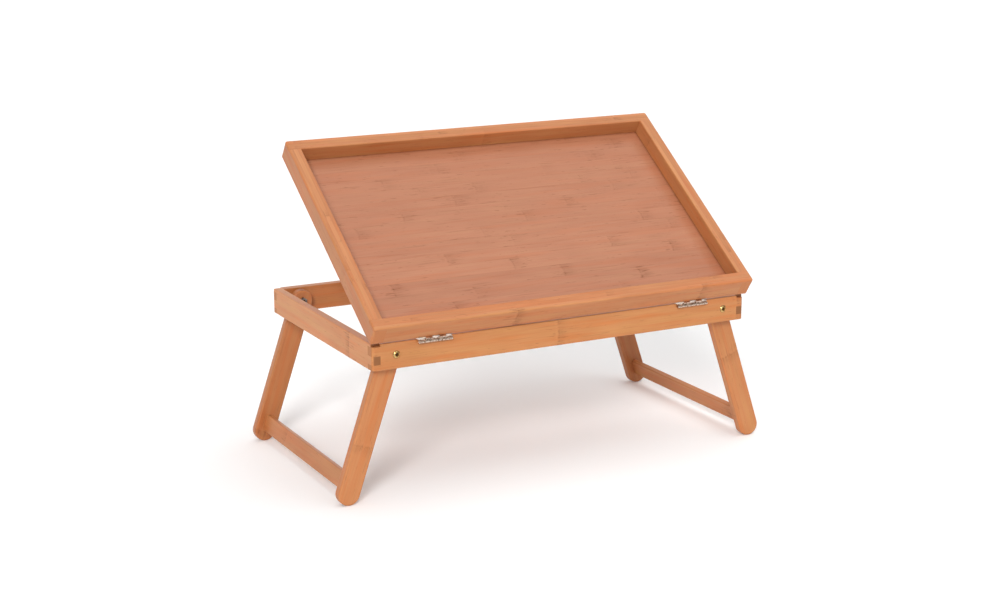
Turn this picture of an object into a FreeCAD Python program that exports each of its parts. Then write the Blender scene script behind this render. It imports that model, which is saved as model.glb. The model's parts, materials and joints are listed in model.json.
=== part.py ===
import FreeCAD, Part
import math
import os

from FreeCAD import Vector

# Folding tray table in bamboo. A shallow tray tilts on two butt hinges along the front of a
# rectangular base frame. Two leg frames fold flat into the base frame. A pair of prop arms under
# the tray slides along a slotted centre runner and is clamped there by a knob.
#
# Frame: +X to the right along the length, +Y to the rear, +Z up, floor at z = 0.
# Everything is laid out with x = 0 and y = 0 in the middle of the base frame, and is moved along Y
# at the end so that the origin is under the middle of the whole table as it stands.

# ---- Driving dimensions, millimetres and degrees -------------------------------------------

# Base frame
BASE_LENGTH = 493.0
BASE_DEPTH = 299.6
BASE_RAIL_HEIGHT = 30.4
BASE_RAIL_THICKNESS = 12.0
BASE_END_THICKNESS = 10.0
BASE_EDGE_ROUND = 1.0
BASE_CORNER_ROUND = 4.0
# Heights, as shares of the rail, at which the corner fingers change over, from the top down
FINGER_SLOT_SHARE = 0.105
FINGER_MIDDLE_SHARE = 0.45
FINGER_LOW_SHARE = 0.775
FINGER_SLOT_DEPTH = 4.0

# Legs
LEG_PIVOT_INSET = 29.4
LEG_PIVOT_DROP = 14.2
LEG_LENGTH = 168.1
LEG_WIDTH = 26.2
LEG_THICKNESS = 12.0
LEG_SPLAY = 18.65
LEG_EDGE_ROUND = 2.2
STRETCHER_HEIGHT = 20.2
STRETCHER_THICKNESS = 7.0
STRETCHER_ABOVE_FOOT = 10.0
STRETCHER_EDGE_ROUND = 1.2
DOWEL_RADIUS = 2.0
DOWEL_IN_LEG = 8.0
DOWEL_IN_STRETCHER = 14.0

# Leg pivot screws, washers and nuts
PIVOT_SHANK_RADIUS = 2.0
PIVOT_HEAD_RADIUS = 4.4
PIVOT_HEAD_HEIGHT = 2.0
PIVOT_SOCKET_ACROSS_FLATS = 4.4
PIVOT_SOCKET_DEPTH = 1.5
PIVOT_WASHER_RADIUS = 6.0
PIVOT_WASHER_GAP = 1.0
PIVOT_NUT_ACROSS_FLATS = 8.0
PIVOT_NUT_HEIGHT = 4.0

# Tray
TRAY_LENGTH = 500.0
TRAY_DEPTH = 303.6
TRAY_HEIGHT = 23.5
TRAY_RAIL_WIDTH = 15.5
TRAY_TOP_ROUND = 2.0
TRAY_INNER_ROUND = 1.5
TRAY_CORNER_ROUND = 3.0
TRAY_FINGER_HEIGHT = 20.5
TRAY_SEAM_GAP = 0.6
TRAY_SEAM_DEPTH = 4.0
TRAY_TILT = 34.35
PANEL_THICKNESS = 4.5
PANEL_TONGUE_LIFT = 1.5
PANEL_TONGUE_THICKNESS = 2.5
PANEL_TONGUE_WIDTH = 3.5

# Hinges
HINGE_SPACING = 341.0
HINGE_LENGTH = 42.0
HINGE_AXIS_AHEAD = 2.4
HINGE_AXIS_DROP = 2.8
HINGE_TRAY_LIFT = 1.25
TRAY_BEHIND_AXIS = 2.6
HINGE_BARREL_RADIUS = 2.0
HINGE_PIN_RADIUS = 1.0
HINGE_LEAF_THICKNESS = 1.0
HINGE_LEAF_REACH = 9.5
HINGE_KNUCKLES = 5
HINGE_KNUCKLE_GAP = 0.2
HINGE_SCREW_SPACING = 24.0
HINGE_SCREW_INSET = 5.0

# Prop arms, slotted runner and clamp
RUNNER_THICKNESS = 12.0
RUNNER_TOP_DROP = 0.6
TENON_LENGTH = 6.0
TENON_THICKNESS = 7.0
TENON_HEIGHT = 18.0
PROP_LENGTH = 134.0
PROP_WIDTH = 14.0
PROP_THICKNESS = 8.0
PROP_PIN_RADIUS = 3.0
PROP_PIN_BELOW_TRAY = 10.6
PROP_SIDE_GAP = 0.4
PROP_BLOCK_THICKNESS = 12.0
PROP_BLOCK_LENGTH = 30.0
PROP_BLOCK_RADIUS = 8.0
SLOT_NEAR = 188.0
SLOT_FAR = 275.0
SLOT_SIDE_GAP = 0.2
CLAMP_WASHER_RADIUS = 8.0
CLAMP_WASHER_THICKNESS = 1.0
CLAMP_HEAD_RADIUS = 7.0
CLAMP_HEAD_HEIGHT = 3.5
KNOB_RADIUS = 13.0
KNOB_LOBES = 6
KNOB_LOBE_RADIUS = 4.0
KNOB_THICKNESS = 13.0
KNOB_WALL = 3.0
KNOB_INSERT_WALL = 2.0
KNOB_GAP = 0.3

RUNNING_CLEARANCE = 0.05

# ---- Worked out from the driving dimensions ------------------------------------------------

X_AXIS = Vector(1, 0, 0)
Y_AXIS = Vector(0, 1, 0)
Z_AXIS = Vector(0, 0, 1)
SIDES = {"left": -1, "right": 1}
ENDS = {"front": -1, "rear": 1}

HALF_LENGTH = BASE_LENGTH / 2
HALF_DEPTH = BASE_DEPTH / 2
INNER_X = HALF_LENGTH - BASE_END_THICKNESS
INNER_Y = HALF_DEPTH - BASE_RAIL_THICKNESS

LEG_RADIUS = LEG_WIDTH / 2
PIVOT_X = HALF_LENGTH - LEG_PIVOT_INSET
PIVOT_Z = LEG_LENGTH * math.cos(math.radians(LEG_SPLAY)) + LEG_RADIUS
BASE_TOP = PIVOT_Z + LEG_PIVOT_DROP
BASE_BOTTOM = BASE_TOP - BASE_RAIL_HEIGHT
LEG_OUTER_Y = INNER_Y - PIVOT_WASHER_GAP
LEG_INNER_Y = LEG_OUTER_Y - LEG_THICKNESS

HINGE_AXIS = Vector(0, -HALF_DEPTH - HINGE_AXIS_AHEAD, BASE_TOP - HINGE_AXIS_DROP)
TRAY_FRONT = HINGE_AXIS.y + TRAY_BEHIND_AXIS
TRAY_REAR = TRAY_FRONT + TRAY_DEPTH
TRAY_BOTTOM = BASE_TOP + HINGE_TRAY_LIFT
TRAY_TOP = TRAY_BOTTOM + TRAY_HEIGHT
TRAY_HALF = TRAY_LENGTH / 2
WELL_HALF = TRAY_HALF - TRAY_RAIL_WIDTH
WELL_FRONT = TRAY_FRONT + TRAY_RAIL_WIDTH
WELL_REAR = TRAY_REAR - TRAY_RAIL_WIDTH
PANEL_TOP = TRAY_BOTTOM + PANEL_THICKNESS

# With the tray shut, the hinge axis, the prop pivot and the clamp bolt lie on one line, the slot
# line. The prop is as long as the pivot is far from the hinge axis, so as the tray tilts by an
# angle the prop swings by exactly twice that angle and the bolt stays on the slot line.
PIN_DROP = HINGE_AXIS.z - (TRAY_BOTTOM - PROP_PIN_BELOW_TRAY)
SLOT_ANGLE = math.degrees(math.asin(PIN_DROP / PROP_LENGTH))
PROP_INNER_X = RUNNER_THICKNESS / 2 + PROP_SIDE_GAP
PROP_OUTER_X = PROP_INNER_X + PROP_THICKNESS
BLOCK_INNER_X = PROP_OUTER_X + PROP_SIDE_GAP
BLOCK_OUTER_X = BLOCK_INNER_X + PROP_BLOCK_THICKNESS
WASHER_OUTER_X = PROP_OUTER_X + CLAMP_WASHER_THICKNESS
KNOB_INNER_X = WASHER_OUTER_X + KNOB_GAP
KNOB_OUTER_X = KNOB_INNER_X + KNOB_THICKNESS
BOLT_END_X = KNOB_OUTER_X - KNOB_WALL


# ---- Small helpers -------------------------------------------------------------------------

def block(x_range, y_range, z_range):
    """Box between two values on each axis."""
    low = Vector(min(x_range), min(y_range), min(z_range))
    sizes = [abs(pair[1] - pair[0]) for pair in (x_range, y_range, z_range)]
    return Part.makeBox(*sizes, low)


def rod(start, end, radius):
    """Solid cylinder from one point to another."""
    along = end - start
    return Part.makeCylinder(radius, along.Length, start, along)


def tube(start, end, outer, inner):
    """Hollow cylinder from one point to another."""
    return rod(start, end, outer).cut(rod(start, end, inner))


def fuse(shapes):
    """One clean solid from shapes that touch or overlap."""
    first, *rest = shapes
    return first.multiFuse(rest).removeSplitter() if rest else first


def cut(shape, tools):
    """Shape with every tool taken away."""
    return shape.cut(list(tools))


def turned(shape, centre, axis, degrees):
    """Copy of a shape turned about a line."""
    copy = shape.copy()
    copy.rotate(centre, axis, degrees)
    return copy


def eased(shape, radius, wanted):
    """Shape with a round of one radius along each edge that the test wants."""
    return shape.makeFillet(radius, [edge for edge in shape.Edges if wanted(edge)])


def runs_along(edge, axis):
    """True for a straight edge along an axis."""
    first, last = edge.Vertexes[0].Point, edge.Vertexes[-1].Point
    return (last - first).cross(axis).Length < 1e-6 < (last - first).Length


def lies_at(edge, axis, value):
    """True for an edge whose ends share one height along an axis."""
    return all(abs(vertex.Point.dot(axis) - value) < 1e-6 for vertex in edge.Vertexes)


def dome(base, out, radius, height):
    """Low dome that stands on a round base and points out along an axis."""
    sphere_radius = (radius ** 2 + height ** 2) / (2 * height)
    centre = base - out * (sphere_radius - height)
    ball = Part.makeSphere(sphere_radius, centre)
    return ball.common(rod(base, base + out * height, radius))


def stadium(start, end, radius, thickness_axis, thickness):
    """Bar with round ends between two points, extruded from them along the thickness axis."""
    along = (end - start).normalize()
    side = thickness_axis.cross(along) * radius
    tip_end = end + along * radius
    tip_start = start - along * radius
    outline = Part.Wire([
        Part.LineSegment(start + side, end + side).toShape(),
        Part.Arc(end + side, tip_end, end - side).toShape(),
        Part.LineSegment(end - side, start - side).toShape(),
        Part.Arc(start - side, tip_start, start + side).toShape(),
    ])
    return Part.Face(outline).extrude(thickness_axis * thickness)


def on_slot_line(distance, x=0.0):
    """Point on the slot line at a distance from the hinge axis."""
    angle = math.radians(SLOT_ANGLE)
    return Vector(x, HINGE_AXIS.y + distance * math.cos(angle), HINGE_AXIS.z - distance * math.sin(angle))


def tilted(shape):
    """Tray piece, made with the tray shut, carried to the tray's resting tilt."""
    return turned(shape, HINGE_AXIS, X_AXIS, TRAY_TILT)


def propped(shape):
    """Prop piece, made with the tray shut, carried to the same resting tilt."""
    with_tray = tilted(shape)
    pivot = tilted(Part.Vertex(on_slot_line(PROP_LENGTH))).Point
    return turned(with_tray, pivot, X_AXIS, -2 * TRAY_TILT)


def splayed(shape, side):
    """Leg piece, made hanging straight down, carried out to the legs' splay."""
    pivot = Vector(side * PIVOT_X, 0, PIVOT_Z)
    return turned(shape, pivot, Y_AXIS, -side * LEG_SPLAY)


# ---- Base frame ----------------------------------------------------------------------------

def base_ring():
    """The four base rails as one ring with eased edges."""
    outer = block((-HALF_LENGTH, HALF_LENGTH), (-HALF_DEPTH, HALF_DEPTH), (BASE_BOTTOM, BASE_TOP))
    outer = eased(outer, BASE_CORNER_ROUND, lambda edge: runs_along(edge, Z_AXIS))
    inner = block((-INNER_X, INNER_X), (-INNER_Y, INNER_Y), (BASE_BOTTOM, BASE_TOP))
    ring = outer.cut(inner)
    return eased(ring, BASE_EDGE_ROUND, lambda edge: not runs_along(edge, Z_AXIS))


def finger_height(share):
    """Height at a share of the base rail, counted from its top edge."""
    return BASE_TOP - share * BASE_RAIL_HEIGHT


def long_rail_zone(end):
    """Space that a front or rear base rail fills, its corner fingers included."""
    strip = (end * INNER_Y, end * HALF_DEPTH)
    full = (-HALF_LENGTH, HALF_LENGTH)
    between = (-INNER_X, INNER_X)
    slot, middle, low = (finger_height(share) for share in
                         (FINGER_SLOT_SHARE, FINGER_MIDDLE_SHARE, FINGER_LOW_SHARE))
    return fuse([
        block(between, strip, (slot, BASE_TOP)),
        block(full, strip, (middle, slot)),
        block(between, strip, (low, middle)),
        block(full, strip, (BASE_BOTTOM, low)),
    ])


def finger_slots():
    """Open slots at the tops of the corners, where the end rails' thin top fingers stop short."""
    heights = (finger_height(FINGER_SLOT_SHARE), BASE_TOP)
    slot_y = HALF_DEPTH - FINGER_SLOT_DEPTH
    return [
        block((side * INNER_X, side * HALF_LENGTH), (end * slot_y, end * HALF_DEPTH), heights)
        for side in SIDES.values() for end in ENDS.values()
    ]


def centre_runner():
    """Runner on edge from front rail to rear rail, with a tenon at each end and the clamp slot."""
    half = RUNNER_THICKNESS / 2
    bar = block((-half, half), (-INNER_Y, INNER_Y), (BASE_BOTTOM, BASE_TOP - RUNNER_TOP_DROP))
    bar = eased(bar, BASE_EDGE_ROUND, lambda edge: runs_along(edge, Y_AXIS))
    slot_radius = PROP_PIN_RADIUS + SLOT_SIDE_GAP
    near, far = on_slot_line(SLOT_NEAR, -half), on_slot_line(SLOT_FAR, -half)
    slot = stadium(near, far, slot_radius, X_AXIS, RUNNER_THICKNESS)
    return fuse([bar.cut(slot)] + [runner_tenon(end) for end in ENDS.values()])


def runner_tenon(end):
    """Tenon that goes into the blind mortise of a long rail."""
    half = TENON_THICKNESS / 2
    middle = (BASE_TOP + BASE_BOTTOM) / 2
    heights = (middle - TENON_HEIGHT / 2, middle + TENON_HEIGHT / 2)
    return block((-half, half), (end * INNER_Y, end * (INNER_Y + TENON_LENGTH)), heights)


def pivot_point(side, y):
    """Point on a leg pivot's axis."""
    return Vector(side * PIVOT_X, y, PIVOT_Z)


def hexagon(centre, across_flats):
    """Hexagonal face round a point, square to the Y axis."""
    reach = across_flats / math.cos(math.radians(30)) / 2
    corners = [
        centre + Vector(math.sin(math.radians(60 * k)), 0, math.cos(math.radians(60 * k))) * reach
        for k in range(6)
    ]
    return Part.Face(Part.makePolygon(corners + corners[:1]))


def pivot_screw(side, end):
    """Domed socket-head screw through a long rail and a leg."""
    face = pivot_point(side, end * HALF_DEPTH)
    tip = pivot_point(side, end * (LEG_INNER_Y - PIVOT_NUT_HEIGHT))
    head = dome(face, Y_AXIS * end, PIVOT_HEAD_RADIUS, PIVOT_HEAD_HEIGHT)
    floor = face + Y_AXIS * (end * (PIVOT_HEAD_HEIGHT - PIVOT_SOCKET_DEPTH))
    socket = hexagon(floor, PIVOT_SOCKET_ACROSS_FLATS).extrude(Y_AXIS * (end * PIVOT_SOCKET_DEPTH))
    return fuse([head.cut(socket), rod(face, tip, PIVOT_SHANK_RADIUS)])


def pivot_washer(side, end):
    """Washer between a long rail and a leg."""
    thickness = PIVOT_WASHER_GAP - 2 * RUNNING_CLEARANCE
    start = pivot_point(side, end * INNER_Y)
    stop = pivot_point(side, end * (INNER_Y - thickness))
    return tube(start, stop, PIVOT_WASHER_RADIUS, PIVOT_SHANK_RADIUS)


def pivot_nut(side, end):
    """Hexagon nut on the screw, just clear of the leg's inner face."""
    start = pivot_point(side, end * (LEG_INNER_Y - KNOB_GAP))
    prism = hexagon(start, PIVOT_NUT_ACROSS_FLATS).extrude(Y_AXIS * (-end * PIVOT_NUT_HEIGHT))
    return prism.cut(rod(start, start - Y_AXIS * (end * PIVOT_NUT_HEIGHT), PIVOT_SHANK_RADIUS))


# ---- Hinges, made with the tray shut -------------------------------------------------------

def hinge_x(side):
    """Middle of a hinge."""
    return side * HINGE_SPACING / 2


def knuckle_range(side, index):
    """Start and end of one knuckle along the hinge."""
    pitch = (HINGE_LENGTH + HINGE_KNUCKLE_GAP) / HINGE_KNUCKLES
    start = hinge_x(side) - HINGE_LENGTH / 2 + index * pitch
    return start, start + pitch - HINGE_KNUCKLE_GAP


def hinge_leaf(side, own_knuckles, plate_bottom, rail_face, bore):
    """One leaf: a plate under or on a rail, and its own knuckles with the bends that carry them."""
    plate_heights = (plate_bottom, plate_bottom + HINGE_LEAF_THICKNESS)
    pieces, bores = [leaf_plate(side, plate_bottom, rail_face)], []
    bend_y = (HINGE_AXIS.y, HINGE_AXIS.y + HINGE_LEAF_THICKNESS)
    for index in own_knuckles:
        along = knuckle_range(side, index)
        start, end = (Vector(x, HINGE_AXIS.y, HINGE_AXIS.z) for x in along)
        pieces += [
            rod(start, end, HINGE_BARREL_RADIUS),
            block(along, (HINGE_AXIS.y, rail_face), plate_heights),
            block(along, bend_y, (HINGE_AXIS.z, plate_heights[1])),
        ]
        bores.append(rod(start, end, bore))
    return cut(fuse(pieces), bores)


def leaf_plate(side, plate_bottom, rail_face):
    """Flat part of a leaf, which is also the pocket that takes it."""
    half = HINGE_LENGTH / 2
    return block((hinge_x(side) - half, hinge_x(side) + half), (rail_face, -HALF_DEPTH + HINGE_LEAF_REACH),
                 (plate_bottom, plate_bottom + HINGE_LEAF_THICKNESS))


def base_leaf(side):
    """Leaf let into the top of the front base rail."""
    own = range(0, HINGE_KNUCKLES, 2)
    return hinge_leaf(side, own, BASE_TOP - HINGE_LEAF_THICKNESS, -HALF_DEPTH, HINGE_PIN_RADIUS)


def tray_leaf(side):
    """Leaf let into the underside of the tray's front rail, free to turn on the pin."""
    own = range(1, HINGE_KNUCKLES, 2)
    return hinge_leaf(side, own, TRAY_BOTTOM, TRAY_FRONT, HINGE_PIN_RADIUS + RUNNING_CLEARANCE)


def hinge_pin(side):
    """Pin through a hinge's knuckles."""
    half = HINGE_LENGTH / 2 + 0.4
    middle = HINGE_AXIS + Vector(hinge_x(side), 0, 0)
    return rod(middle - Vector(half, 0, 0), middle + Vector(half, 0, 0), HINGE_PIN_RADIUS)


def leaf_screws(side, face_z, into):
    """Two countersunk screws through a leaf; into is +1 upwards or -1 downwards."""
    head_radius, shank_radius, head_depth, length = 2.4, 1.2, 1.2, 9.0
    screws = []
    for offset in (-HINGE_SCREW_SPACING / 2, HINGE_SCREW_SPACING / 2):
        top = Vector(hinge_x(side) + offset, -HALF_DEPTH + HINGE_SCREW_INSET, face_z)
        axis = Z_AXIS * into
        cone = Part.makeCone(head_radius, shank_radius, head_depth, top, axis)
        screws.append(fuse([cone, rod(top + axis * head_depth, top + axis * length, shank_radius)]))
    return screws


# ---- Tray, made shut -----------------------------------------------------------------------

def tray_ring():
    """The four tray rails as one ring: rounded outer rim, square well, groove for the panel."""
    outer = block((-TRAY_HALF, TRAY_HALF), (TRAY_FRONT, TRAY_REAR), (TRAY_BOTTOM, TRAY_TOP))
    outer = eased(outer, TRAY_CORNER_ROUND, lambda edge: runs_along(edge, Z_AXIS))
    outer = eased(outer, TRAY_TOP_ROUND, lambda edge: lies_at(edge, Z_AXIS, TRAY_TOP))
    well = block((-WELL_HALF, WELL_HALF), (WELL_FRONT, WELL_REAR), (TRAY_BOTTOM, TRAY_TOP))
    ring = outer.cut(well)
    ring = eased(ring, TRAY_INNER_ROUND, is_well_rim)
    return ring.cut(panel_tongue())


def is_well_rim(edge):
    """True for the four edges round the mouth of the tray's well."""
    if not lies_at(edge, Z_AXIS, TRAY_TOP):
        return False
    return all(abs(vertex.X) < WELL_HALF + 1e-3 and WELL_FRONT - 1e-3 < vertex.Y < WELL_REAR + 1e-3
               for vertex in edge.Vertexes)


def panel_tongue():
    """Thin edge of the panel that sits in the rails' groove."""
    grow = PANEL_TONGUE_WIDTH
    low = TRAY_BOTTOM + PANEL_TONGUE_LIFT
    return block((-WELL_HALF - grow, WELL_HALF + grow), (WELL_FRONT - grow, WELL_REAR + grow),
                 (low, low + PANEL_TONGUE_THICKNESS))


def tray_panel():
    """Panel with its tongue; its upper face is exactly the floor of the well."""
    floor = block((-WELL_HALF, WELL_HALF), (WELL_FRONT, WELL_REAR), (TRAY_BOTTOM, PANEL_TOP))
    return fuse([floor, panel_tongue()])


def tray_long_rail_zone(end):
    """Space that the tray's front or rear rail fills: its top runs over the side rails' fingers."""
    outer, inner = (TRAY_FRONT, WELL_FRONT) if end < 0 else (TRAY_REAR, WELL_REAR)
    seam = TRAY_BOTTOM + TRAY_FINGER_HEIGHT
    return fuse([
        block((-TRAY_HALF, TRAY_HALF), (outer, inner), (seam, TRAY_TOP)),
        block((-WELL_HALF, WELL_HALF), (outer, inner), (TRAY_BOTTOM, seam)),
    ])


def seam_gaps():
    """Fine open seams in the tray's ends, under the ends of its long rails."""
    seam = TRAY_BOTTOM + TRAY_FINGER_HEIGHT
    return [
        block((side * (TRAY_HALF - TRAY_SEAM_DEPTH), side * TRAY_HALF), pair, (seam - TRAY_SEAM_GAP, seam))
        for side in SIDES.values()
        for pair in ((TRAY_FRONT, WELL_FRONT), (WELL_REAR, TRAY_REAR))
    ]


# ---- Prop, made with the tray shut ---------------------------------------------------------

def prop_block(side):
    """Block under the tray panel that carries a prop pivot pin."""
    pin = on_slot_line(PROP_LENGTH, side * BLOCK_INNER_X)
    thickness = X_AXIS * (side * PROP_BLOCK_THICKNESS)
    half = PROP_BLOCK_LENGTH / 2
    foot = block((side * BLOCK_INNER_X, side * BLOCK_OUTER_X), (pin.y - half, pin.y + half),
                 (TRAY_BOTTOM - PROP_PIN_BELOW_TRAY / 2, TRAY_BOTTOM))
    lug = fuse([
        rod(pin, pin + thickness, PROP_BLOCK_RADIUS),
        block((side * BLOCK_INNER_X, side * BLOCK_OUTER_X),
              (pin.y - PROP_BLOCK_RADIUS, pin.y + PROP_BLOCK_RADIUS), (pin.z, TRAY_BOTTOM)),
    ])
    return fuse([foot, lug]).cut(rod(pin, pin + thickness, PROP_PIN_RADIUS))


def prop_pin(side):
    """Pin through a prop arm and its block."""
    start = on_slot_line(PROP_LENGTH, side * (PROP_INNER_X + PROP_SIDE_GAP))
    end = on_slot_line(PROP_LENGTH, side * BLOCK_OUTER_X)
    return rod(start, end, PROP_PIN_RADIUS)


def prop_arm(side):
    """Arm with round ends from the tray pivot to the clamp bolt."""
    low_x = min(side * PROP_INNER_X, side * PROP_OUTER_X)
    pivot = on_slot_line(PROP_LENGTH, low_x)
    foot = on_slot_line(2 * PROP_LENGTH, low_x)
    arm = stadium(pivot, foot, PROP_WIDTH / 2, X_AXIS, PROP_THICKNESS)
    arm = eased(arm, BASE_EDGE_ROUND,
                lambda edge: lies_at(edge, X_AXIS, low_x) or lies_at(edge, X_AXIS, low_x + PROP_THICKNESS))
    across = X_AXIS * PROP_THICKNESS
    return cut(arm, [rod(pivot, pivot + across, PROP_PIN_RADIUS + RUNNING_CLEARANCE),
                     rod(foot, foot + across, PROP_PIN_RADIUS)])


def clamp_bolt():
    """Round-headed bolt through both arms and the runner's slot."""
    head_face = on_slot_line(2 * PROP_LENGTH, -WASHER_OUTER_X)
    head = dome(head_face, -X_AXIS, CLAMP_HEAD_RADIUS, CLAMP_HEAD_HEIGHT)
    return fuse([head, rod(head_face, on_slot_line(2 * PROP_LENGTH, BOLT_END_X), PROP_PIN_RADIUS)])


def clamp_washer(side):
    """Washer against the outside of a prop arm."""
    start = on_slot_line(2 * PROP_LENGTH, side * PROP_OUTER_X)
    end = on_slot_line(2 * PROP_LENGTH, side * WASHER_OUTER_X)
    return tube(start, end, CLAMP_WASHER_RADIUS, PROP_PIN_RADIUS)


def knob_insert():
    """Threaded insert in the knob, shown by its plain bore."""
    start = on_slot_line(2 * PROP_LENGTH, KNOB_INNER_X)
    end = on_slot_line(2 * PROP_LENGTH, BOLT_END_X)
    bore = PROP_PIN_RADIUS + RUNNING_CLEARANCE
    return tube(start, end, bore + KNOB_INSERT_WALL, bore)


def clamp_knob():
    """Lobed knob with a blind hole for its insert."""
    start = on_slot_line(2 * PROP_LENGTH, KNOB_INNER_X)
    end = on_slot_line(2 * PROP_LENGTH, KNOB_OUTER_X)
    body = [rod(start, end, KNOB_RADIUS - KNOB_LOBE_RADIUS / 2)]
    for index in range(KNOB_LOBES):
        angle = 2 * math.pi * index / KNOB_LOBES
        offset = Vector(0, math.cos(angle), math.sin(angle)) * (KNOB_RADIUS - KNOB_LOBE_RADIUS)
        body.append(rod(start + offset, end + offset, KNOB_LOBE_RADIUS))
    knob = fuse(body)
    knob = eased(knob, BASE_EDGE_ROUND, lambda edge: lies_at(edge, X_AXIS, KNOB_OUTER_X))
    hole = rod(start, on_slot_line(2 * PROP_LENGTH, BOLT_END_X),
               PROP_PIN_RADIUS + RUNNING_CLEARANCE + KNOB_INSERT_WALL)
    return knob.cut(hole)


# ---- Leg frames, made hanging straight down ------------------------------------------------

def leg(side, end):
    """Leg with round ends and a running hole for its pivot screw."""
    outer_y, inner_y = end * LEG_OUTER_Y, end * LEG_INNER_Y
    low_y, high_y = min(outer_y, inner_y), max(outer_y, inner_y)
    top = pivot_point(side, low_y)
    foot = top - Z_AXIS * LEG_LENGTH
    bar = stadium(top, foot, LEG_RADIUS, Y_AXIS, LEG_THICKNESS)
    bar = eased(bar, LEG_EDGE_ROUND,
                lambda edge: lies_at(edge, Y_AXIS, low_y) or lies_at(edge, Y_AXIS, high_y))
    hole = rod(top, top + Y_AXIS * LEG_THICKNESS, PIVOT_SHANK_RADIUS + RUNNING_CLEARANCE)
    return cut(bar, [hole, stretcher_dowel(side, end)])


def stretcher_height():
    """Height of the stretcher's centre line with the legs hanging straight down."""
    return PIVOT_Z - LEG_LENGTH + STRETCHER_ABOVE_FOOT


def stretcher_dowel(side, end):
    """Blind dowel from a leg into the end of its stretcher."""
    height = stretcher_height()
    in_leg = Vector(side * PIVOT_X, end * (LEG_INNER_Y + DOWEL_IN_LEG), height)
    in_stretcher = Vector(side * PIVOT_X, end * (LEG_INNER_Y - DOWEL_IN_STRETCHER), height)
    return rod(in_leg, in_stretcher, DOWEL_RADIUS)


def stretcher(side):
    """Bar between the two legs of one side, just above their feet."""
    half_x, half_z = STRETCHER_THICKNESS / 2, STRETCHER_HEIGHT / 2
    height = stretcher_height()
    x_middle = side * PIVOT_X
    bar = block((x_middle - half_x, x_middle + half_x), (-LEG_INNER_Y, LEG_INNER_Y),
                (height - half_z, height + half_z))
    bar = eased(bar, STRETCHER_EDGE_ROUND, lambda edge: runs_along(edge, Y_AXIS))
    return cut(bar, [stretcher_dowel(side, end) for end in ENDS.values()])


# ---- Sub-assemblies ------------------------------------------------------------------------

def corners():
    """Every pairing of a side with an end."""
    return [(side, end) for side in SIDES.values() for end in ENDS.values()]


def base_frame_nodes():
    """Rails, runner and everything fixed to them."""
    ring = base_ring()
    screws = [pivot_screw(side, end) for side, end in corners()]
    shanks = [rod(pivot_point(side, end * HALF_DEPTH), pivot_point(side, end * INNER_Y), PIVOT_SHANK_RADIUS)
              for side, end in corners()]
    base_screws = [screw for side in SIDES.values() for screw in leaf_screws(side, BASE_TOP, -1)]
    pockets = [leaf_plate(side, BASE_TOP - HINGE_LEAF_THICKNESS, -HALF_DEPTH) for side in SIDES.values()]
    tenons = [runner_tenon(end) for end in ENDS.values()]
    long_zones = [long_rail_zone(end) for end in ENDS.values()]

    nodes = {}
    for name, end in ENDS.items():
        rail = ring.common(long_rail_zone(end))
        nodes[f"base_{name}_rail"] = cut(rail, shanks + tenons + pockets + base_screws)
    for name, side in SIDES.items():
        half = block((0, side * HALF_LENGTH), (-HALF_DEPTH, HALF_DEPTH), (BASE_BOTTOM, BASE_TOP))
        nodes[f"base_{name}_rail"] = cut(ring.common(half), long_zones + finger_slots())
        nodes[f"{name}_hinge_base_leaf"] = cut(base_leaf(side), base_screws)
    nodes["centre_runner"] = centre_runner()
    nodes["leg_pivot_screws"] = Part.makeCompound(screws)
    nodes["leg_pivot_washers"] = Part.makeCompound([pivot_washer(side, end) for side, end in corners()])
    nodes["leg_pivot_nuts"] = Part.makeCompound([pivot_nut(side, end) for side, end in corners()])
    nodes["hinge_pins"] = Part.makeCompound([hinge_pin(side) for side in SIDES.values()])
    nodes["hinge_base_screws"] = Part.makeCompound(base_screws)
    return nodes


def tray_nodes():
    """Tray rails, panel and everything fixed to them, at the resting tilt."""
    ring = tray_ring()
    tray_screws = [screw for side in SIDES.values() for screw in leaf_screws(side, TRAY_BOTTOM, 1)]
    pockets = [leaf_plate(side, TRAY_BOTTOM, TRAY_FRONT) for side in SIDES.values()]
    long_zones = [tray_long_rail_zone(end) for end in ENDS.values()]

    shut = {}
    for name, end in ENDS.items():
        rail = ring.common(tray_long_rail_zone(end))
        shut[f"tray_{name}_rail"] = cut(rail, pockets + tray_screws)
    for name, side in SIDES.items():
        half = block((0, side * TRAY_HALF), (TRAY_FRONT, TRAY_REAR), (TRAY_BOTTOM, TRAY_TOP))
        shut[f"tray_{name}_rail"] = cut(ring.common(half), long_zones + seam_gaps())
        shut[f"{name}_hinge_tray_leaf"] = cut(tray_leaf(side), tray_screws)
        shut[f"{name}_prop_block"] = prop_block(side)
    shut["tray_panel"] = tray_panel()
    shut["hinge_tray_screws"] = Part.makeCompound(tray_screws)
    shut["prop_pivot_pins"] = Part.makeCompound([prop_pin(side) for side in SIDES.values()])
    return {name: tilted(shape) for name, shape in shut.items()}


def prop_nodes():
    """Arms, clamp bolt, washers and knob, at the resting tilt."""
    shut = {f"{name}_prop_arm": prop_arm(side) for name, side in SIDES.items()}
    shut["clamp_bolt"] = clamp_bolt()
    shut["clamp_washers"] = Part.makeCompound([clamp_washer(side) for side in SIDES.values()])
    shut["clamp_knob"] = clamp_knob()
    shut["knob_insert"] = knob_insert()
    return {name: propped(shape) for name, shape in shut.items()}


def leg_frame_nodes():
    """Both leg frames, at their splay."""
    nodes = {}
    for side_name, side in SIDES.items():
        hanging = {f"{side_name}_{end_name}_leg": leg(side, end) for end_name, end in ENDS.items()}
        hanging[f"{side_name}_stretcher"] = stretcher(side)
        dowels = [stretcher_dowel(side, end) for end in ENDS.values()]
        hanging[f"{side_name}_stretcher_dowels"] = Part.makeCompound(dowels)
        nodes.update({name: splayed(shape, side) for name, shape in hanging.items()})
    return nodes


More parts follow.
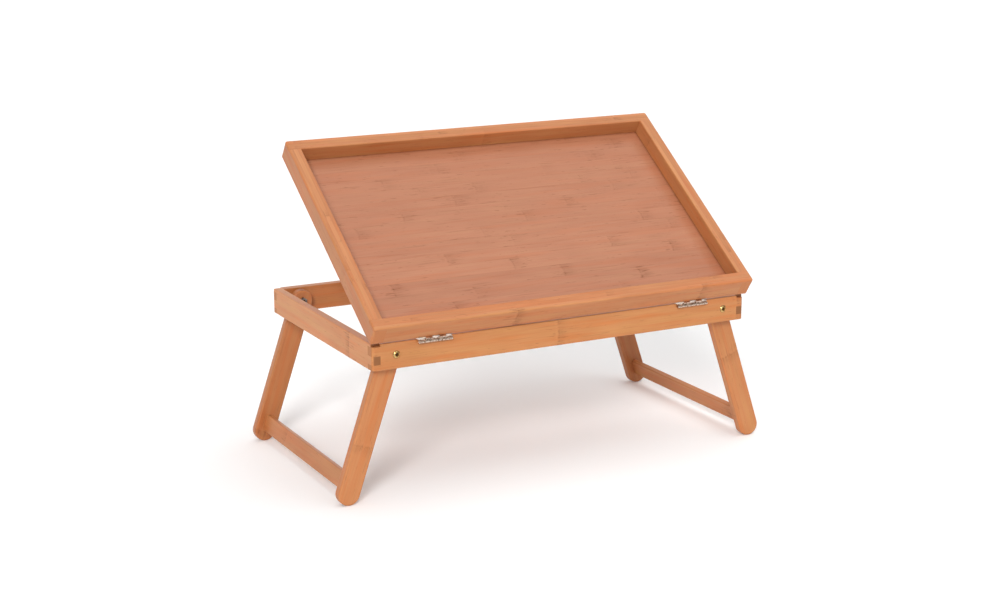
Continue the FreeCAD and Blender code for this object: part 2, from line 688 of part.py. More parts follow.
def overall_box(shapes):
    """Tight box round a list of shapes."""
    whole = FreeCAD.BoundBox()
    for shape in shapes:
        whole.add(shape.optimalBoundingBox(False, False))
    return whole


def centring_shift(nodes):
    """Move along Y that puts the origin under the middle of the table as it stands."""
    whole = overall_box(nodes.values())
    return Vector(0, -(whole.YMin + whole.YMax) / 2, 0)


def build():
    """Every node by name, in the part's own frame."""
    nodes = {**base_frame_nodes(), **tray_nodes(), **prop_nodes(), **leg_frame_nodes()}
    shift = centring_shift(nodes)
    for shape in nodes.values():
        shape.translate(shift)
    return nodes, shift


def main():
    """Build every node and write one STEP file for each."""
    os.makedirs("parts", exist_ok=True)
    nodes, shift = build()
    for name, shape in nodes.items():
        valid = "" if shape.isValid() else "  NOT VALID"
        print(f"{name}: {len(shape.Solids)} solid(s), {shape.Volume / 1000:.2f} cm3{valid}")
        shape.exportStep(f"parts/{name}.step")
    whole = overall_box(nodes.values())
    print(f"{len(nodes)} nodes, {whole.XLength:.2f} x {whole.YLength:.2f} x {whole.ZLength:.2f} mm,"
          f" lowest {whole.ZMin:.3f}, moved by y = {shift.y:.3f}")


if __name__ == "__main__":
    main()
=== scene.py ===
"""Looks of the folding tray table: bamboo, lacquer and hinge metal around the fixed frame."""
import json
import logging
import math
from dataclasses import dataclass, field
from enum import Enum
from typing import Iterable, Optional, Union

import bpy
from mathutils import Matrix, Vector


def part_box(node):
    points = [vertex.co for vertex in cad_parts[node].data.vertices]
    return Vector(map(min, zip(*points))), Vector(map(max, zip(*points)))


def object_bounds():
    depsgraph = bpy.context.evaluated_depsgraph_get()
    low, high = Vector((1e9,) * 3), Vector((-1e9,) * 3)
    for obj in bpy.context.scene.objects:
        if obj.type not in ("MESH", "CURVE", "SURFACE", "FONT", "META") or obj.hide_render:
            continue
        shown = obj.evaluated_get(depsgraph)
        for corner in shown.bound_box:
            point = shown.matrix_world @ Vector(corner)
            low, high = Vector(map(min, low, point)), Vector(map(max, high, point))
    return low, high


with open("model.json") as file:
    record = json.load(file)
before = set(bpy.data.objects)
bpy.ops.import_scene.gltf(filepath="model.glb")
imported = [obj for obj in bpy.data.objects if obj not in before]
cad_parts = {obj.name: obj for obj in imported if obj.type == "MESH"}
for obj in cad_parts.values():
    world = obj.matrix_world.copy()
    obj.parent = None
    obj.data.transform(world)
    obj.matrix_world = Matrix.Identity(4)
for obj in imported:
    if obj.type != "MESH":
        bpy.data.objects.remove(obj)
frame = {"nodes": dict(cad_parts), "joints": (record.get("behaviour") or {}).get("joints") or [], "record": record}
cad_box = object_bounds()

log = logging.getLogger("tray_table")

RECORD = frame["record"]
JOINTS = {joint["name"]: joint for joint in frame["joints"]}
NODES = frame["nodes"]
X_WAY, Y_WAY, Z_WAY = Vector((1, 0, 0)), Vector((0, 1, 0)), Vector((0, 0, 1))

RGB = tuple[float, float, float]
Settings = Optional[dict[str, object]]


# ---- Shader writing ------------------------------------------------------------------------

class Wire:
    """One output socket of a shader, read as a number, with Python's arithmetic."""

    def __init__(self, shader: "Shader", socket: bpy.types.NodeSocket) -> None:
        """Wrap a socket.

        Args:
            shader: The shader that the socket belongs to.
            socket: The output socket.
        """
        self.shader = shader
        self.socket = socket

    def _math(self, operation: str, *values: "Feed") -> "Wire":
        """Add a Math node.

        Args:
            operation: The node's operation.
            values: Its inputs, in order.

        Returns:
            The node's result.
        """
        sockets = dict(enumerate(values))
        return self.shader.node("ShaderNodeMath", {"operation": operation}, sockets)

    def __add__(self, other: "Feed") -> "Wire":
        """Sum."""
        return self._math("ADD", self, other)

    __radd__ = __add__

    def __sub__(self, other: "Feed") -> "Wire":
        """Difference."""
        return self._math("SUBTRACT", self, other)

    def __rsub__(self, other: "Feed") -> "Wire":
        """Difference from a number on the left."""
        return self._math("SUBTRACT", other, self)

    def __mul__(self, other: "Feed") -> "Wire":
        """Product."""
        return self._math("MULTIPLY", self, other)

    __rmul__ = __mul__

    def __truediv__(self, other: "Feed") -> "Wire":
        """Quotient."""
        return self._math("DIVIDE", self, other)

    def __rtruediv__(self, other: "Feed") -> "Wire":
        """Quotient of a number on the left."""
        return self._math("DIVIDE", other, self)

    def __pow__(self, other: "Feed") -> "Wire":
        """Power."""
        return self._math("POWER", self, other)

    def __abs__(self) -> "Wire":
        """Size without sign."""
        return self._math("ABSOLUTE", self)

    def floor(self) -> "Wire":
        """Whole part."""
        return self._math("FLOOR", self)

    def fraction(self) -> "Wire":
        """Part after the point."""
        return self._math("FRACT", self)

    def bell(self, width: float) -> "Wire":
        """Smooth bump that is one at zero.

        Args:
            width: Distance at which the bump has fallen to about a third.

        Returns:
            The height of the bump.
        """
        return math.e ** (-1.0 * (self / width) * (self / width))

    def __rpow__(self, other: "Feed") -> "Wire":
        """Power of a number on the left."""
        return self._math("POWER", other, self)

    def ramp(self, low: float, high: float, out_low: float = 0.0, out_high: float = 1.0) -> "Wire":
        """Smooth step between two values.

        Args:
            low: Value where the step starts.
            high: Value where it ends.
            out_low: Result at the start.
            out_high: Result at the end.

        Returns:
            The stepped value.
        """
        settings = {"interpolation_type": "SMOOTHSTEP", "clamp": True}
        sockets = {"Value": self, "From Min": low, "From Max": high, "To Min": out_low, "To Max": out_high}
        return self.shader.node("ShaderNodeMapRange", settings, sockets, "Result")


class Arrow(Wire):
    """One output socket of a shader, read as a vector or a colour."""

    def _vector(self, operation: str, *values: "Feed", output: str = "Vector") -> "Arrow":
        """Add a Vector Math node.

        Args:
            operation: The node's operation.
            values: Its inputs, in order.
            output: The name of the result socket.

        Returns:
            The node's result.
        """
        sockets = dict(enumerate(values))
        return self.shader.node("ShaderNodeVectorMath", {"operation": operation}, sockets, output)

    def __add__(self, other: "Feed") -> "Arrow":
        """Sum."""
        return self._vector("ADD", self, other)

    def __sub__(self, other: "Feed") -> "Arrow":
        """Difference."""
        return self._vector("SUBTRACT", self, other)

    def __mul__(self, other: "Feed") -> "Arrow":
        """Product, part by part."""
        return self._vector("MULTIPLY", self, other)

    def along(self, direction: "Feed") -> Wire:
        """Reach along a unit direction."""
        return self._vector("DOT_PRODUCT", self, direction, output="Value")


Feed = Union[Wire, Arrow, float, int, tuple, Vector]
VECTOR_SOCKETS = ("VECTOR", "RGBA")


class Shader:
    """The nodes of a material or of the world, under construction."""

    def __init__(self, owner: Union[bpy.types.Material, bpy.types.World]) -> None:
        """Start with no nodes.

        Args:
            owner: The material or world that the nodes belong to.
        """
        self.owner = owner
        owner.use_nodes = True
        self.tree = owner.node_tree
        self.tree.nodes.clear()

    @classmethod
    def of_material(cls, name: str) -> "Shader":
        """Start a new material's nodes."""
        return cls(bpy.data.materials.new(name))

    def node(self, kind: str, settings: Settings = None, sockets: Optional[dict] = None,
             output: Union[str, int, None] = 0) -> Optional[Wire]:
        """Add a node.

        Args:
            kind: The node's type.
            settings: Its properties, set before its sockets.
            sockets: Values or links by socket name or number.
            output: The output socket wanted, by name or number, or None where it has none.

        Returns:
            That output, as an Arrow if it carries a vector or a colour.
        """
        made = self.tree.nodes.new(kind)
        for name, setting in (settings or {}).items():
            setattr(made, name, setting)
        for key, feed in (sockets or {}).items():
            self._feed(self._input(made, key), feed)
        if output is None:
            return None
        socket = self._output(made, output)
        return Arrow(self, socket) if socket.type in VECTOR_SOCKETS else Wire(self, socket)

    @staticmethod
    def _input(made: bpy.types.Node, key: Union[str, int]) -> bpy.types.NodeSocket:
        """Find an input socket that is in use, by name or number."""
        if isinstance(key, int):
            return made.inputs[key]
        return next(socket for socket in made.inputs if socket.name == key and socket.enabled)

    @staticmethod
    def _output(made: bpy.types.Node, key: Union[str, int]) -> bpy.types.NodeSocket:
        """Find an output socket that is in use, by name or number."""
        in_use = [socket for socket in made.outputs if socket.enabled]
        return in_use[key] if isinstance(key, int) else next(s for s in in_use if s.name == key)

    def _feed(self, socket: bpy.types.NodeSocket, feed: Feed) -> None:
        """Link or set one input socket."""
        if isinstance(feed, Wire):
            self.tree.links.new(feed.socket, socket)
        elif socket.type == "RGBA":
            socket.default_value = (*feed, 1.0)
        else:
            socket.default_value = feed

    def mix(self, factor: Feed, first: Feed, second: Feed, blend: str = "MIX") -> Arrow:
        """Mix two colours.

        Args:
            factor: Share of the second.
            first: First colour.
            second: Second colour.
            blend: How they mix.

        Returns:
            The mixed colour.
        """
        settings = {"data_type": "RGBA", "blend_type": blend, "clamp_factor": True}
        return self.node("ShaderNodeMix", settings, {"Factor": factor, "A": first, "B": second}, "Result")

    def place(self) -> Arrow:
        """Place on the piece, in metres, in the frame at rest."""
        return self.node("ShaderNodeTexCoord", output="Object")

    def facing(self) -> Arrow:
        """Direction that the surface faces, in the frame at rest."""
        return self.node("ShaderNodeTexCoord", output="Normal")

    def vector(self, x: Feed, y: Feed, z: Feed) -> Arrow:
        """Vector from three numbers."""
        return self.node("ShaderNodeCombineXYZ", None, {"X": x, "Y": y, "Z": z})

    def noise(self, where: Feed, scale: float, detail: float = 2.0, roughness: float = 0.5) -> Wire:
        """Smooth noise between zero and one.

        Args:
            where: Place to read it at.
            scale: Lumps per metre.
            detail: Octaves added.
            roughness: Strength of the finer octaves.

        Returns:
            The noise.
        """
        sockets = {"Vector": where, "Scale": scale, "Detail": detail, "Roughness": roughness}
        return self.node("ShaderNodeTexNoise", {"noise_dimensions": "3D"}, sockets, 0)

    def scatter(self, cell: Feed) -> Wire:
        """Random number between zero and one for each whole-numbered cell."""
        return self.node("ShaderNodeTexWhiteNoise", {"noise_dimensions": "3D"}, {"Vector": cell}, "Value")

    def bump(self, height: Feed, distance: float, strength: float = 1.0) -> Arrow:
        """Surface direction under a height.

        Args:
            height: Height between zero and one.
            distance: Height of one, in metres.
            strength: Share of the effect.

        Returns:
            The surface direction.
        """
        return self.node("ShaderNodeBump", None, {"Strength": strength, "Distance": distance, "Height": height})

    def finish(self, sockets: dict[str, Feed]) -> bpy.types.Material:
        """Close the shader with a Principled surface.

        Args:
            sockets: Values or links of the surface's sockets.

        Returns:
            The finished material.
        """
        self.surface(self.node("ShaderNodeBsdfPrincipled", None, sockets))
        return self.owner

    def surface(self, shading: Wire) -> None:
        """Link a shading to the material's output."""
        self.node("ShaderNodeOutputMaterial", None, {"Surface": shading}, None)


# ---- Finishes ------------------------------------------------------------------------------

@dataclass(frozen=True)
class Grain:
    """How a bamboo piece lies: its middle, and the ways its fibres, faces and layers run.

    The painted shade depth draws the piece darker than its neighbours, as painted shade for pieces that stand in
    shadow under the tray. The crease shade reach, if it has one, is how far along and across the fibres the piece
    shows before a painted shade line in the crease where it meets the rails.
    """

    middle: Vector
    along: Vector
    across: Vector
    through: Vector
    seed: float = 0.0
    # Painted shade: how much darker and redder the piece is drawn, for pieces that stand in shadow.
    depth: float = 0.0
    crease_shade_reach: Optional[tuple[float, float]] = None


@dataclass(frozen=True)
class Bamboo:
    """Pressed, steamed bamboo under clear satin lacquer.

    Colours are linear. Lengths are in metres: a strip is one lath of cane, and a joint is the ring
    across the cane where a leaf grew.
    """

    name: str
    pale: RGB
    deep: RGB
    dark: RGB = (0.20, 0.062, 0.020)
    strip_width: float = 0.032
    layer_thickness: float = 0.006
    strip_start: float = 0.5
    layer_start: float = 0.5
    joint_pitch: float = 0.25
    joint_strength: float = 1.0
    joint_reach: float = 0.006
    strip_contrast: float = 0.40
    fibre_contrast: float = 0.60
    cloud_contrast: float = 0.70
    hue_contrast: float = 0.9
    streak_strength: float = 0.34
    patch_strength: float = 0.36
    end_tone: float = 0.80
    pore_strength: float = 0.5
    roughness: float = 0.50
    coat: float = 0.15
    redder: RGB = (1.04, 0.86, 0.70)
    yellower: RGB = (1.02, 1.10, 1.04)
    # Width and strength of the painted shade line in the crease at the panel's edge.
    crease_shade_width: float = 0.0022
    crease_shade_strength: float = 0.70

    def material(self, piece: str, grain: Grain) -> bpy.types.Material:
        """Make the material for one piece.

        Args:
            piece: The piece's name.
            grain: How the bamboo lies in it.

        Returns:
            The material.
        """
        shader = Shader.of_material(f"{self.name}_{piece}")
        here = shader.place() - tuple(grain.middle)
        along, across, through = (here.along(tuple(way)) for way in (grain.along, grain.across, grain.through))
        strip_run = across / self.strip_width + self.strip_start
        layer_run = through / self.layer_thickness + self.layer_start
        cell = (strip_run.floor(), layer_run.floor())
        own = shader.scatter(shader.vector(*cell, grain.seed))
        other = shader.scatter(shader.vector(*cell, grain.seed + 7.0))

        fibres = shader.noise(shader.vector(along * 0.011 + other * 3.0, across, through), 1000.0, 3.0, 0.62)
        clouds = shader.noise(shader.vector(along * 0.22 + own * 2.0, across, through), 60.0, 2.0, 0.5)
        joints = self._joints(shader, along, across, through, strip_run, cell, grain.seed)
        streaks = self._streaks(shader, along, across, through, joints["zone"])
        seams = self._seams(strip_run, layer_run)

        tone = (own - 0.5) * self.strip_contrast + (fibres - 0.5) * self.fibre_contrast
        tone = tone + (clouds - 0.5) * self.cloud_contrast + 0.5
        colour = shader.mix(tone.ramp(0.0, 1.0), self.deep, self.pale)
        hues = shader.noise(shader.vector(along * 0.07 + own * 5.0, across, through), 130.0, 2.0, 0.55)
        colour = shader.mix(hues.ramp(0.44, 0.72, 0.0, self.hue_contrast), colour, colour * self.redder)
        colour = shader.mix(hues.ramp(0.52, 0.28, 0.0, self.hue_contrast), colour, colour * self.yellower)
        collar_colour = tuple(min(1.0, part * 1.22) for part in self.pale)
        colour = shader.mix(joints["collar"] * 0.30, colour, collar_colour)
        marks = joints["line"] * 0.34 + joints["patch"] * self.patch_strength + seams * 0.12
        marks = marks + streaks * self.streak_strength
        # Painted shade: a dark line at the panel's edge, in the crease where it meets the rails.
        if grain.crease_shade_reach:
            marks = marks + self._painted_crease_shade(along, across, grain.crease_shade_reach)
        colour = shader.mix(marks, colour, self.dark)
        # Painted shade: the piece is darkened and reddened as if it stood in the shadow under the tray.
        if grain.depth:
            colour = colour * tuple((1.0 - grain.depth) ** power for power in (1.0, 1.3, 1.6))
        ends = abs(shader.facing().along(tuple(grain.along))).ramp(0.75, 0.95)
        colour = shader.mix(ends, colour, self._end_grain(shader, here))

        height = fibres * 0.5 + joints["collar"] * 0.4 - joints["line"] * 0.4 - streaks * 0.3 - seams * 0.4
        return shader.finish({
            "Base Color": colour,
            "Roughness": self.roughness + (fibres - 0.5) * 0.14 + marks * 0.15 + ends * 0.14,
            "Specular IOR Level": 0.32,
            "Coat Weight": self.coat,
            "Coat Roughness": 0.22,
            "Normal": shader.bump(height, 0.0001, 0.6),
        })

    def _joints(self, shader: Shader, along: Wire, across: Wire, through: Wire, strip_run: Wire,
                cell: tuple[Wire, Wire], seed: float) -> dict[str, Wire]:
        """Joints of the cane: a broken line, a soft ragged patch and a pale collar, at random places.

        Args:
            shader: The shader.
            along: Place along the fibres.
            across: Place across them.
            through: Place through the layers.
            strip_run: Place across, counted in strips.
            cell: Number of the strip and of the layer.
            seed: The piece's random seed.

        Returns:
            The line, the patch, the collar and the zone round the joint.
        """
        phase = shader.scatter(shader.vector(*cell, seed + 3.0))
        turn = along / self.joint_pitch + phase
        weight = shader.scatter(shader.vector(cell[0] + 0.5, cell[1] + turn.floor() * 17.0, seed)) * 0.7 + 0.3
        weight = weight * self.joint_strength
        bow = strip_run.fraction() - 0.5
        wobble = shader.noise(shader.vector(along * 0.5, across, through), 160.0, 1.0) - 0.5
        reach = (turn.fraction() - 0.5) * self.joint_pitch + bow * bow * 0.006 + wobble * 0.003
        ragged = shader.noise(shader.vector(along * 0.06, across, through), 700.0, 2.0, 0.6)
        spread = ragged.ramp(0.35, 0.65, 0.25, 1.0)
        return {
            "line": reach.bell(0.0009) * ragged.ramp(0.42, 0.58) * weight,
            "patch": (reach - self.joint_reach * 0.5).bell(self.joint_reach) * spread * weight,
            "collar": (reach + 0.0030).bell(0.0022) * spread * weight,
            "zone": reach.bell(0.018) * weight,
        }

    def _streaks(self, shader: Shader, along: Wire, across: Wire, through: Wire, zone: Wire) -> Wire:
        """Short dark vessels that lie along the fibres, thickest near the joints.

        Args:
            shader: The shader.
            along: Place along the fibres.
            across: Place across them.
            through: Place through the layers.
            zone: Nearness of a joint.

        Returns:
            The streaks, between zero and one.
        """
        long_streaks = shader.noise(shader.vector(along * 0.035, across, through), 520.0, 1.0, 0.5)
        short_streaks = shader.noise(shader.vector(along * 0.12, across, through), 700.0, 1.0, 0.5)
        return (long_streaks.ramp(0.60, 0.74) * 0.6 + (short_streaks + zone * 0.10).ramp(0.66, 0.78)).ramp(0.0, 1.2)

    def _seams(self, strip_run: Wire, layer_run: Wire) -> Wire:
        """Glue lines between strips and between layers.

        Args:
            strip_run: Place across, counted in strips.
            layer_run: Place through, counted in layers.

        Returns:
            The seams, between zero and one.
        """
        from_strip = (0.5 - abs(strip_run.fraction() - 0.5)) * self.strip_width
        from_layer = (0.5 - abs(layer_run.fraction() - 0.5)) * self.layer_thickness
        return from_strip.bell(0.00025) + from_layer.bell(0.00025)

    def _painted_crease_shade(self, along: Wire, across: Wire, crease_shade_reach: tuple[float, float]) -> Wire:
        """Painted shade: a dark line round the part of the piece that shows, in the crease where it meets the
        rails.

        Args:
            along: Place along the fibres.
            across: Place across them.
            crease_shade_reach: How far the piece shows, along and across.

        Returns:
            The line's strength.
        """
        side_lines = (abs(along) - crease_shade_reach[0]).bell(self.crease_shade_width)
        end_lines = (abs(across) - crease_shade_reach[1]).bell(self.crease_shade_width)
        return (side_lines + end_lines) * self.crease_shade_strength

    def _end_grain(self, shader: Shader, here: Arrow) -> Arrow:
        """Cut ends of the fibres: deeper, with fine dark pores.

        Args:
            shader: The shader.
            here: Place on the piece.

        Returns:
            The colour.
        """
        pores = shader.noise(here, 2600.0, 1.0, 0.5).ramp(0.52, 0.72)
        base = tuple(part * self.end_tone for part in self.deep)
        return shader.mix(pores * self.pore_strength, base, self.dark)


@dataclass(frozen=True)
class Metal:
    """Plated or bare metal with fine rub marks."""

    name: str
    colour: RGB
    worn: RGB
    roughness: float

    def material(self) -> bpy.types.Material:
        """Make the material, shared by every piece of this metal."""
        shader = Shader.of_material(self.name)
        here = shader.place()
        blotch = shader.noise(here, 420.0, 2.0)
        rubs = shader.noise(here * (1.0, 14.0, 14.0), 900.0, 2.0)
        colour = shader.mix(blotch.ramp(0.4, 0.7), self.colour, self.worn)
        return shader.finish({
            "Base Color": self.shaded(shader, here, colour),
            "Metallic": 1.0,
            "Roughness": self.roughness + (rubs - 0.5) * 0.25 + blotch.ramp(0.45, 0.8) * 0.15,
            "Normal": shader.bump(rubs, 0.00002, 0.5),
        })

    def shaded(self, shader: Shader, here: Arrow, colour: Arrow) -> Arrow:
        """Colour after the painted shade in its hollows: plain metal has none."""
        return colour


@dataclass(frozen=True)
class ScrewMetal(Metal):
    """Metal of the leg screws, with painted shade in the sockets and a painted shadow line round each head.

    The screws' axes run from front to rear at the same distance left and right of the middle.
    """

    axis: Vector = field(default_factory=lambda: Vector(JOINTS["right_leg_fold"]["pos_m"]))
    socket_radius: float = 0.0021
    head_radius: float = 0.0044
    # Colour of the painted shade in the socket and the painted shadow round the head.
    socket_shade_colour: RGB = (0.075, 0.040, 0.018)

    def shaded(self, shader: Shader, here: Arrow, colour: Arrow) -> Arrow:
        """Paint shade into the socket and a shadow line round the edge of the head.

        Args:
            shader: The shader.
            here: Place on the piece.
            colour: Colour of the metal before the painted shade.

        Returns:
            The colour with the painted shade.
        """
        sideways = abs(here.along(tuple(X_WAY))) - abs(self.axis.x)
        upward = here.along(tuple(Z_WAY)) - self.axis.z
        reach = (sideways * sideways + upward * upward) ** 0.5
        socket = reach.ramp(self.socket_radius * 1.15, self.socket_radius * 0.85)
        edge = reach.ramp(self.head_radius * 0.86, self.head_radius * 0.99)
        # Painted shade: the socket and a ring at the head's edge are darkened where shadow falls.
        return shader.mix(socket + edge, colour, self.socket_shade_colour)


class Timber(Enum):
    """The bamboo finishes of the table."""

    PANEL = Bamboo("panel_bamboo", pale=(0.515, 0.216, 0.116), deep=(0.400, 0.154, 0.081),
                   strip_width=0.0184, layer_thickness=0.0045, strip_start=0.0, joint_strength=1.0,
                   joint_pitch=0.22, joint_reach=0.010, patch_strength=0.30, strip_contrast=0.22,
                   hue_contrast=0.6, streak_strength=0.42)
    TRAY = Bamboo("tray_bamboo", pale=(0.580, 0.235, 0.092), deep=(0.440, 0.158, 0.054),
                  layer_thickness=0.0052, end_tone=1.12, pore_strength=0.25)
    LONG_RAIL = Bamboo("base_bamboo", pale=(0.600, 0.255, 0.092), deep=(0.470, 0.180, 0.056), end_tone=0.95)
    END_RAIL = Bamboo("base_bamboo", pale=(0.600, 0.250, 0.092), deep=(0.470, 0.178, 0.056), end_tone=0.56)
    LEG = Bamboo("leg_bamboo", pale=(0.545, 0.218, 0.080), deep=(0.410, 0.144, 0.045))
    DOWEL = Bamboo("dowel_wood", pale=(0.700, 0.480, 0.290), deep=(0.560, 0.360, 0.200), joint_strength=0.0)


class Fitting(Enum):
    """The metals of the table."""

    BRASS = Metal("brass", colour=(0.78, 0.57, 0.24), worn=(0.52, 0.36, 0.15), roughness=0.26)
    LEG_SCREW = ScrewMetal("leg_screw_brass", colour=(0.68, 0.46, 0.18), worn=(0.45, 0.28, 0.10), roughness=0.28)
    HINGE = Metal("hinge_metal", colour=(0.68, 0.54, 0.44), worn=(0.28, 0.17, 0.11), roughness=0.26)
    STEEL = Metal("steel", colour=(0.24, 0.22, 0.20), worn=(0.12, 0.11, 0.10), roughness=0.42)


# ---- Dressing ------------------------------------------------------------------------------

def middle_of(node: str) -> Vector:
    """Middle of a node's box."""
    low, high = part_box(node)
    return (low + high) / 2


def dress(node: str, material: bpy.types.Material) -> None:
    """Give a node one material.

    Args:
        node: The node's name.
        material: Its material.
    """
    mesh = NODES[node].data
    mesh.materials.clear()
    mesh.materials.append(material)
    log.info("%s wears %s", node, material.name)


def dress_bamboo(node: str, timber: Timber, grain: Grain) -> None:
    """Give a node bamboo that lies as its grain says.

    Args:
        node: The node's name.
        timber: The finish.
        grain: How the bamboo lies.
    """
    dress(node, timber.value.material(node, grain))


class MetalStore:
    """Metal materials, each made once."""

    def __init__(self) -> None:
        """Start with none made."""
        self.made: dict[Fitting, bpy.types.Material] = {}

    def dress(self, nodes: Iterable[str], fitting: Fitting) -> None:
        """Give nodes one metal.

        Args:
            nodes: The nodes' names.
            fitting: The metal.
        """
        if fitting not in self.made:
            self.made[fitting] = fitting.value.material()
        for node in nodes:
            dress(node, self.made[fitting])


# ---- Sub-assemblies ------------------------------------------------------------------------

@dataclass
class BaseFrame:
    """The four base rails, the centre runner and what is fixed to them."""

    metals: MetalStore
    long_rails: tuple[str, ...] = ("base_front_rail", "base_rear_rail")
    end_rails: tuple[str, ...] = ("base_left_rail", "base_right_rail")
    # Painted shade on the rear rail, which stands in the tray's shadow.
    rear_painted_shade: float = 0.22

    def dress(self) -> None:
        """Dress every node of the base frame."""
        for seed, node in enumerate(self.long_rails):
            grain = Grain(middle_of(node), X_WAY, Z_WAY, Y_WAY, seed + 1.0, depth=seed * self.rear_painted_shade)
            dress_bamboo(node, Timber.LONG_RAIL, grain)
        for seed, node in enumerate(self.end_rails):
            dress_bamboo(node, Timber.END_RAIL, Grain(middle_of(node), Y_WAY, Z_WAY, X_WAY, seed + 11.0))
        runner = "centre_runner"
        dress_bamboo(runner, Timber.LONG_RAIL, Grain(middle_of(runner), Y_WAY, Z_WAY, X_WAY, 21.0))
        self.metals.dress(["left_hinge_base_leaf", "right_hinge_base_leaf", "hinge_pins"], Fitting.HINGE)
        self.metals.dress(["hinge_base_screws"], Fitting.BRASS)
        self.metals.dress(["leg_pivot_screws"], Fitting.LEG_SCREW)
        self.metals.dress(["leg_pivot_washers", "leg_pivot_nuts"], Fitting.STEEL)


@dataclass
class Tray:
    """The tilting tray: rails, panel, hinge leaves and prop blocks."""

    metals: MetalStore
    normal: Vector = field(default_factory=lambda: Vector(RECORD["mounts"][0]["axis"]))
    tongue: float = 0.0035

    def dress(self) -> None:
        """Dress every node of the tray."""
        up = self.normal
        rearward = X_WAY.cross(up) * -1
        for seed, node in enumerate(("tray_front_rail", "tray_rear_rail")):
            dress_bamboo(node, Timber.TRAY, Grain(self.piece_middle(node), X_WAY, up, rearward, seed + 31.0))
        for seed, node in enumerate(("tray_left_rail", "tray_right_rail")):
            dress_bamboo(node, Timber.TRAY, Grain(self.piece_middle(node), rearward, up, X_WAY, seed + 41.0))
        # How far the panel shows: the painted shade line lies at this edge.
        shown = tuple(self.half_reach("tray_panel", way) - self.tongue for way in (X_WAY, rearward))
        middle = self.piece_middle("tray_panel")
        dress_bamboo("tray_panel", Timber.PANEL, Grain(middle, X_WAY, rearward, up, 51.0, crease_shade_reach=shown))
        for seed, node in enumerate(("left_prop_block", "right_prop_block")):
            dress_bamboo(node, Timber.TRAY, Grain(self.piece_middle(node), rearward, up, X_WAY, seed + 61.0))
        self.metals.dress(["left_hinge_tray_leaf", "right_hinge_tray_leaf"], Fitting.HINGE)
        self.metals.dress(["hinge_tray_screws"], Fitting.BRASS)
        self.metals.dress(["prop_pivot_pins"], Fitting.STEEL)

    def piece_middle(self, node: str) -> Vector:
        """Middle of a tilted piece.

        Args:
            node: The node's name.

        Returns:
            The middle of its extent along the tray's own directions.
        """
        middle = Vector((0, 0, 0))
        for way in (X_WAY, self.normal, X_WAY.cross(self.normal)):
            reaches = self.reaches(node, way)
            middle += way * (min(reaches) + max(reaches)) / 2
        return middle

    def half_reach(self, node: str, way: Vector) -> float:
        """Half of a piece's extent along a direction."""
        reaches = self.reaches(node, way)
        return (max(reaches) - min(reaches)) / 2

    @staticmethod
    def reaches(node: str, way: Vector) -> list[float]:
        """Reach of every corner of a piece along a direction."""
        return [vertex.co.dot(way) for vertex in NODES[node].data.vertices]


@dataclass
class Prop:
    """The prop arms, the clamp bolt and its knob."""

    metals: MetalStore
    pivot: Vector = field(default_factory=lambda: Vector(JOINTS["prop_swing"]["pos_m"]))
    foot: Vector = field(default_factory=lambda: Vector(JOINTS["knob_turn"]["pos_m"]))

    def dress(self) -> None:
        """Dress the arms, the bolt and the knob."""
        along = (self.foot - self.pivot).normalized()
        across = X_WAY.cross(along)
        for seed, node in enumerate(("left_prop_arm", "right_prop_arm")):
            dress_bamboo(node, Timber.LEG, Grain((self.foot + self.pivot) / 2, along, across, X_WAY, seed + 71.0))
        dress_bamboo("clamp_knob", Timber.LONG_RAIL, Grain(middle_of("clamp_knob"), X_WAY, Y_WAY, Z_WAY, 75.0))
        self.metals.dress(["clamp_bolt", "clamp_washers"], Fitting.STEEL)
        self.metals.dress(["knob_insert"], Fitting.BRASS)


@dataclass
class LegFrame:
    """Two legs and their stretcher on one side."""

    side: str
    # Painted shade on the rear leg, which stands in the shadow under the base and the tray.
    rear_painted_shade: float = 0.15

    @property
    def joint(self) -> dict:
        """The joint that the leg frame folds on."""
        return JOINTS[f"{self.side}_leg_fold"]

    def dress(self) -> None:
        """Dress the legs, the stretcher and its dowels."""
        splay = math.radians(self.joint["range_deg"][1] - 90.0)
        outward = -1.0 if self.side == "left" else 1.0
        down = Vector((outward * math.sin(splay), 0, -math.cos(splay)))
        out = Y_WAY.cross(down) * -outward
        first = 81.0 if self.side == "left" else 91.0
        for seed, end in enumerate(("front", "rear")):
            node = f"{self.side}_{end}_leg"
            grain = Grain(middle_of(node), down, out, Y_WAY, first + seed, depth=seed * self.rear_painted_shade)
            dress_bamboo(node, Timber.LEG, grain)
        node = f"{self.side}_stretcher"
        dress_bamboo(node, Timber.LEG, Grain(middle_of(node), Y_WAY, down, out, first + 5.0))
        node = f"{self.side}_stretcher_dowels"
        dress_bamboo(node, Timber.DOWEL, Grain(middle_of(node), Y_WAY, down, out, first + 7.0))


# ---- Studio --------------------------------------------------------------------------------

def gaze(azimuth: float, elevation: float) -> Vector:
    """Unit direction from a place round the table towards it.

    Args:
        azimuth: Degrees to the right of the front.
        elevation: Degrees above the floor.

    Returns:
        The direction.
    """
    turn, tip = math.radians(azimuth), math.radians(elevation)
    return Vector((-math.sin(turn) * math.cos(tip), math.cos(turn) * math.cos(tip), -math.sin(tip)))


@dataclass(frozen=True)
class SoftLight:
    """A wide soft light, far enough away to fall evenly on the whole floor; its angles are in degrees."""

    name: str
    azimuth: float
    elevation: float
    strength: float
    softness: float
    distance: float = 2.5

    def hang(self, middle: Vector) -> None:
        """Hang the light round the table.

        Args:
            middle: The table's middle.
        """
        lamp = bpy.data.lights.new(self.name, "SUN")
        lamp.energy = self.strength
        lamp.angle = math.radians(self.softness)
        holder = bpy.data.objects.new(self.name, lamp)
        towards = gaze(self.azimuth, self.elevation)
        holder.rotation_euler = towards.to_track_quat("-Z", "Y").to_euler()
        holder.location = middle - towards * self.distance
        bpy.context.scene.collection.objects.link(holder)
        log.info("light %s hung", self.name)


